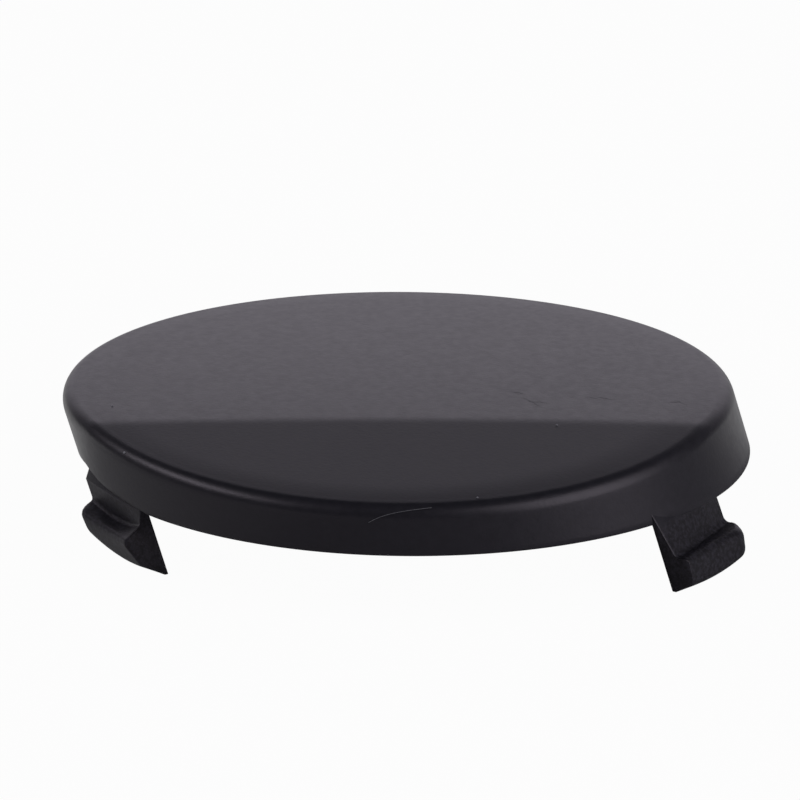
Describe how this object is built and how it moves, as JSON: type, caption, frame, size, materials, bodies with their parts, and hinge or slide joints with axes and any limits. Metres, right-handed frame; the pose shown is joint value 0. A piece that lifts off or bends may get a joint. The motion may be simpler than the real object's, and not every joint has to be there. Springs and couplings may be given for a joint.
{
  "type": "tow hook cover",
  "caption": "Round moulded plastic cap with a creased face, a slanted skirt and barbed clips, made to close the towing-eye hole in a bumper.",
  "frame": {"origin": "centre of the skirt's flat lower rim, in the plane of the opening", "axes": "+Z out of the face, +X along the longer way of the oval, the way the pull direction leans, +Y from the creased front to the back"},
  "size_m": [0.0727, 0.0698, 0.0153],
  "materials": {
    "black_plastic": "satin, fine grain"
  },
  "bodies": {
    "root": {"tow_hook_cover": "black_plastic"}
  },
  "joints": []
}
